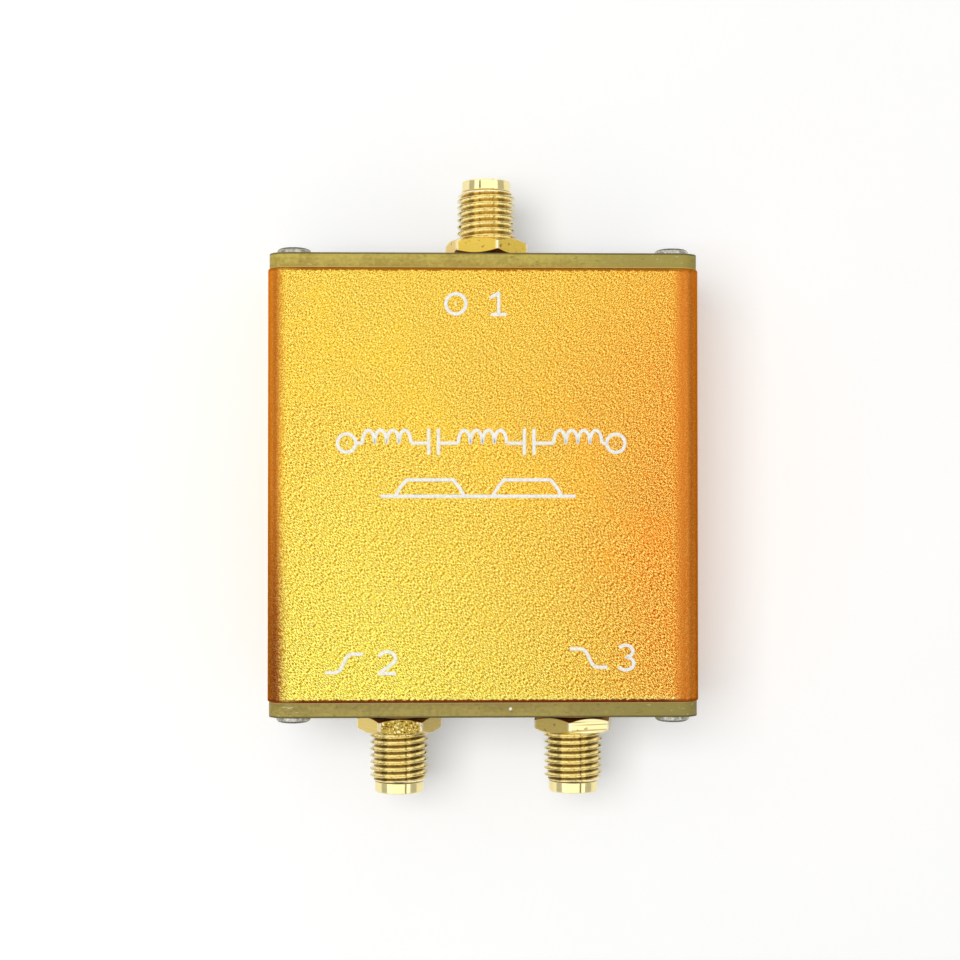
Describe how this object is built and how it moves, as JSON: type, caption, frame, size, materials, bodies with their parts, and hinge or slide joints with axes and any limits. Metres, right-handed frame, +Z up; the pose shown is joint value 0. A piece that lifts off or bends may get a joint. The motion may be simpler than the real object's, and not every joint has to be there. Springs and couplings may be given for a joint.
{
  "type": "coaxial antenna duplexer",
  "caption": "Flat gold box that splits one coaxial line into a high and a low band, with a threaded jack at the rear and a pair at the front.",
  "frame": {"origin": "under the middle of the box, on the surface that the case rests on", "axes": "+Z up out of the printed face, +Y along the extrusion towards the single rear jack, +X to the right seen from above with the front pair of jacks towards the viewer"},
  "size_m": [0.045, 0.0662, 0.0185],
  "materials": {
    "anodised_case": "sandblasted and gold anodised",
    "laminate_plate": "glass-fibre laminate, bare routed edges",
    "nickel_screw": "bright nickel plated",
    "board_laminate": "green solder mask over tinned copper",
    "gold_plating": "turned and gold plated",
    "gold_nut": "milled and gold plated",
    "white_insulator": "smooth white fluoropolymer",
    "coil_wire": "bare copper wire",
    "chip_ceramic": "fired ceramic with tinned ends",
    "print_ink": "screen-printed white ink"
  },
  "bodies": {
    "root": {"case_extrusion": "anodised_case", "front_end_plate": "laminate_plate", "rear_end_plate": "laminate_plate", "front_plate_screws": "nickel_screw", "rear_plate_screws": "nickel_screw", "circuit_board": "board_laminate", "jack_1_shell": "gold_plating", "jack_1_insulator": "white_insulator", "jack_1_contact": "gold_plating", "jack_1_nut": "gold_nut", "jack_1_lock_washer": "gold_nut", "jack_2_shell": "gold_plating", "jack_2_insulator": "white_insulator", "jack_2_contact": "gold_plating", "jack_2_nut": "gold_nut", "jack_2_lock_washer": "gold_nut", "jack_3_shell": "gold_plating", "jack_3_insulator": "white_insulator", "jack_3_contact": "gold_plating", "jack_3_nut": "gold_nut", "jack_3_lock_washer": "gold_nut", "low_pass_coil_1": "coil_wire", "low_pass_coil_2": "coil_wire", "low_pass_coil_3": "coil_wire", "high_pass_coil_1": "coil_wire", "high_pass_coil_2": "coil_wire", "low_pass_capacitor_1": "chip_ceramic", "low_pass_capacitor_2": "chip_ceramic", "high_pass_capacitor_1": "chip_ceramic", "high_pass_capacitor_2": "chip_ceramic", "high_pass_capacitor_3": "chip_ceramic"}
  },
  "joints": []
}
